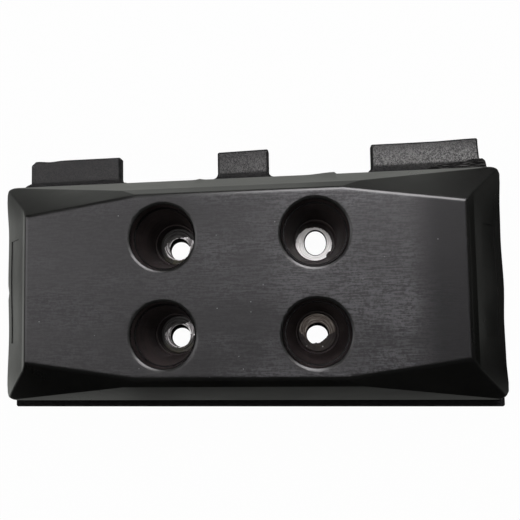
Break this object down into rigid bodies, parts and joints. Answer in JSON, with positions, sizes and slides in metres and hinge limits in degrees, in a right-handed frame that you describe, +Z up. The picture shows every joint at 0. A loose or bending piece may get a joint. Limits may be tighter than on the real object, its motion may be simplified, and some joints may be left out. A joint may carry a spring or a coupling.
{
  "type": "paver track pad",
  "caption": "Flat steel track shoe with a bonded rubber tread block, bolt sockets through the rubber and tabs on its leading edge.",
  "frame": {"origin": "middle of the four bolt holes, on the plate's underside", "axes": "+X along the shoe, across the track; +Y towards the leading edge with the tabs; +Z up from the underside to the tread face"},
  "size_m": [0.305, 0.162, 0.048],
  "materials": {
    "plate_steel": "thin rough black paint over rolled steel",
    "tread_rubber": "moulded rubber, dull on the tread and smoother on its walls"
  },
  "bodies": {
    "root": {"steel_base_plate": "plate_steel", "rubber_block": "tread_rubber"}
  },
  "joints": []
}
